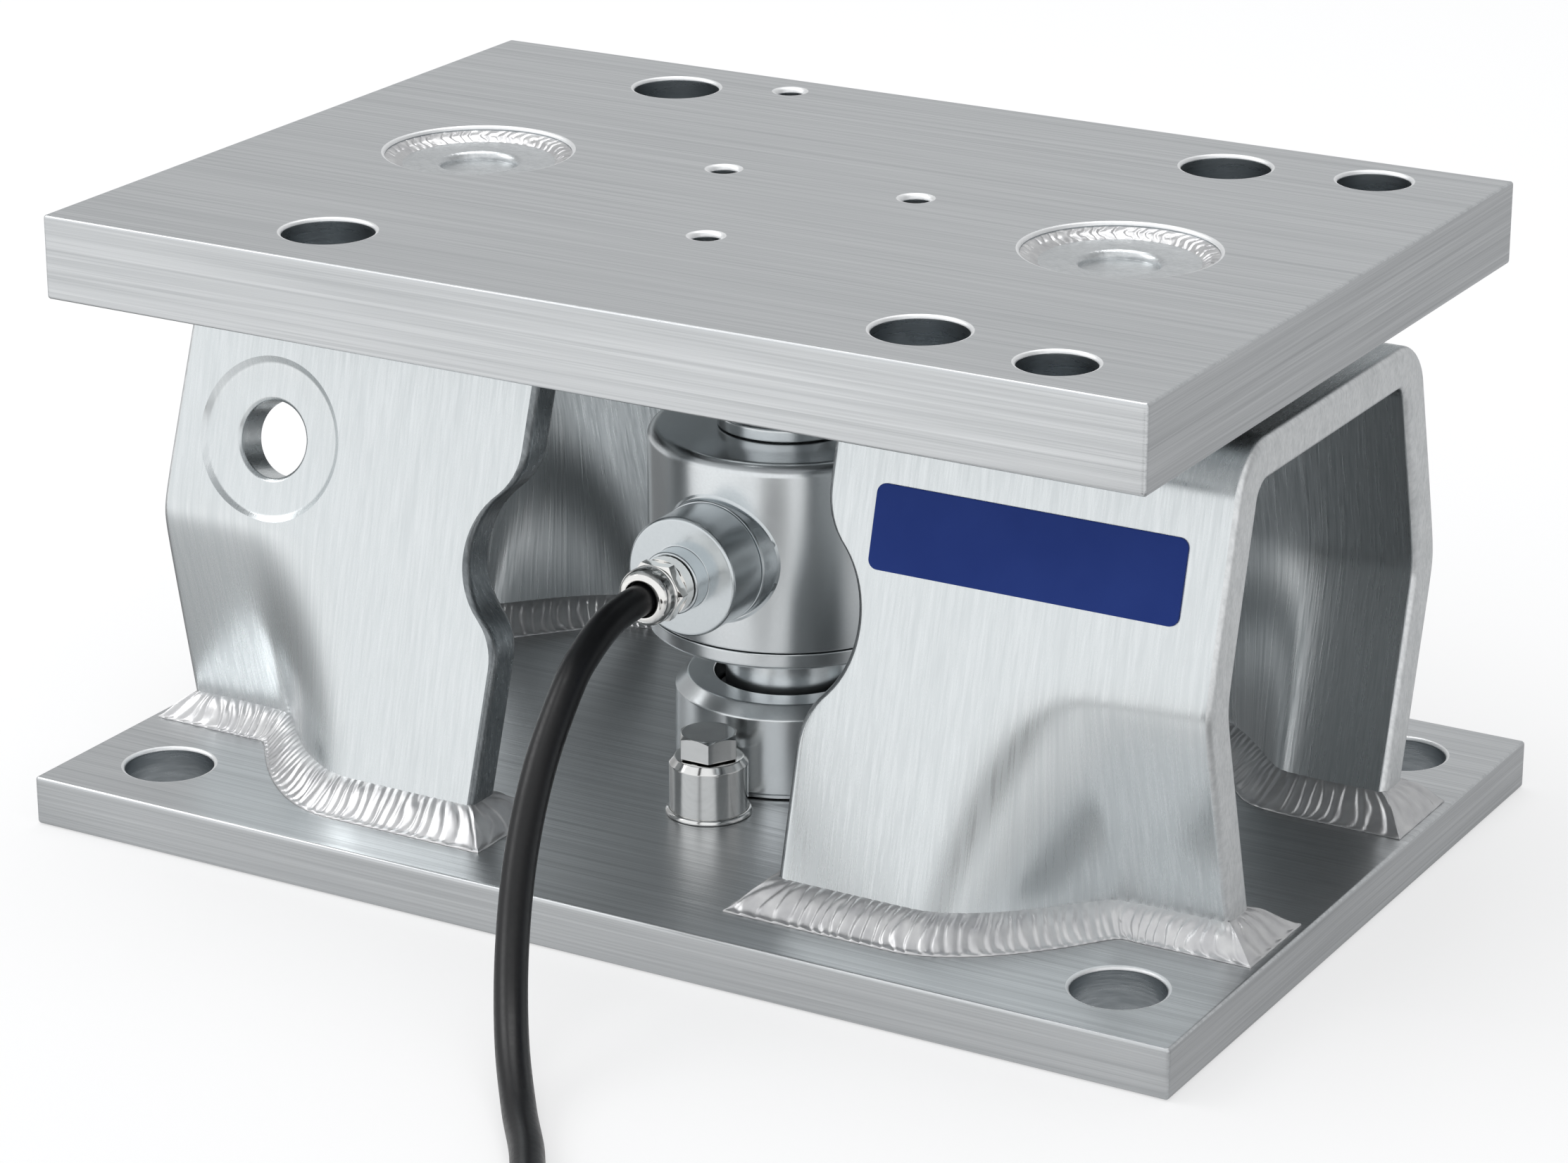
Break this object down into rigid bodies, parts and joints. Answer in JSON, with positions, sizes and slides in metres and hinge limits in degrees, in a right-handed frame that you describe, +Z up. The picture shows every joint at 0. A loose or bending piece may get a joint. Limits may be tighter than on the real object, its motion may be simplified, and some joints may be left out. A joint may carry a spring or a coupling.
{
  "type": "load cell weighing module",
  "caption": "Weighing module: canister load cell rocking between a base plate with pressed yokes and a floating top plate held down by pins, with a side cable.",
  "frame": {"origin": "centre of the base plate's underside, on the load cell's axis", "axes": "+X along the long side towards the end with the two side holes, -Y the side where the cable leaves, +Z up from the base plate to the top plate"},
  "size_m": [0.3332, 0.4742, 0.152],
  "materials": {
    "plate_steel": "brushed",
    "pressed_steel": "brushed",
    "weld_metal": "rippled",
    "satin_steel": "satin",
    "polished_steel": "polished",
    "nickel": "polished",
    "zinc": "satin",
    "seal_rubber": "matte",
    "black_jacket": "satin",
    "strap": "matte",
    "board_green": "matte",
    "gauge_foil": "satin",
    "core_red": "satin",
    "core_white": "satin",
    "core_green": "satin",
    "core_black": "satin",
    "core_drain": "satin"
  },
  "bodies": {
    "base": {"base_plate": "plate_steel", "yoke_left": "pressed_steel", "yoke_right": "pressed_steel", "foot_weld_left_front": "weld_metal", "foot_weld_left_back": "weld_metal", "foot_weld_right_front": "weld_metal", "foot_weld_right_back": "weld_metal", "lower_receiver": "satin_steel", "earthing_post": "polished_steel", "earthing_post_weld": "weld_metal", "earthing_screw": "polished_steel", "cable_coil": "black_jacket", "coil_tie_a": "strap", "coil_tie_b": "strap", "cable_tail": "black_jacket", "cable_end_sleeve": "seal_rubber", "core_red": "core_red", "core_white": "core_white", "core_green": "core_green", "core_black": "core_black", "core_drain": "core_drain"},
    "lower_seal": {"lower_seal_ring": "seal_rubber"},
    "load_cell": {"cell_column": "satin_steel", "cell_can": "satin_steel", "cell_bottom_cover": "satin_steel", "terminal_board": "board_green", "strain_gauge_1": "gauge_foil", "strain_gauge_2": "gauge_foil", "strain_gauge_3": "gauge_foil", "strain_gauge_4": "gauge_foil", "port_socket": "satin_steel", "port_cover": "satin_steel", "gland_body": "nickel", "gland_nut": "nickel", "gland_seal": "seal_rubber", "cable": "black_jacket"},
    "upper_seal": {"upper_seal_ring": "seal_rubber"},
    "upper_receiver": {"upper_receiver": "satin_steel"},
    "top_plate": {"top_plate": "plate_steel", "hold_down_pin_left": "satin_steel", "hold_down_pin_right": "satin_steel", "ring_weld_left": "weld_metal", "ring_weld_right": "weld_metal", "hold_down_washer_left": "zinc", "hold_down_washer_right": "zinc", "hold_down_bolt_left": "zinc", "hold_down_bolt_right": "zinc"}
  },
  "joints": [
    {"name": "sway_along", "type": "hinge", "parent": "base", "child": "lower_seal", "pos_m": [0, 0, 0.024], "axis": [0, 1, 0], "range_deg": [-1.5, 1.5], "stiffness_Nm_per_rad": 45},
    {"name": "sway_across", "type": "hinge", "parent": "lower_seal", "child": "load_cell", "pos_m": [0, 0, 0.024], "axis": [1, 0, 0], "range_deg": [-1.5, 1.5], "stiffness_Nm_per_rad": 45, "deforming": ["cable"]},
    {"name": "top_tilt_across", "type": "hinge", "parent": "load_cell", "child": "upper_seal", "pos_m": [0, 0, 0.1206], "axis": [1, 0, 0], "range_deg": [-1.55, 1.55]},
    {"name": "top_tilt_along", "type": "hinge", "parent": "upper_seal", "child": "upper_receiver", "pos_m": [0, 0, 0.1206], "axis": [0, 1, 0], "range_deg": [-1.55, 1.55]},
    {"name": "plate_lift", "type": "slide", "parent": "upper_receiver", "child": "top_plate", "axis": [0, 0, 1], "range_m": [0, 0.0025]}
  ],
  "couplings": [
    {"joint": "top_tilt_across", "follows": "sway_across", "ratio": -1},
    {"joint": "top_tilt_along", "follows": "sway_along", "ratio": -1}
  ]
}
